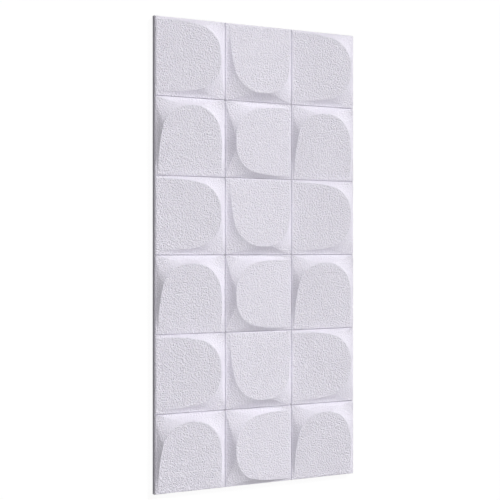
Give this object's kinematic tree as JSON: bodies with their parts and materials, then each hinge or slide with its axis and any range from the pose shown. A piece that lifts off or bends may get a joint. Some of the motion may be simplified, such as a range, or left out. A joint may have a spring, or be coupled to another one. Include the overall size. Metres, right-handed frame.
{
  "type": "3d wall panel",
  "caption": "White moulded foam wall panel with a flat back and a pinwheel relief of tilted rounded pads in square cells, parted by fine grooves.",
  "frame": {"origin": "middle of the flat back, on the floor that the panel lies on", "axes": "+Z out of the relief, +Y along the length, +X across the width"},
  "size_m": [0.5, 1, 0.0275],
  "materials": {
    "white_foam": "matt white moulded polystyrene with a fine rough grain"
  },
  "bodies": {
    "root": {"wall_panel": "white_foam"}
  },
  "joints": []
}
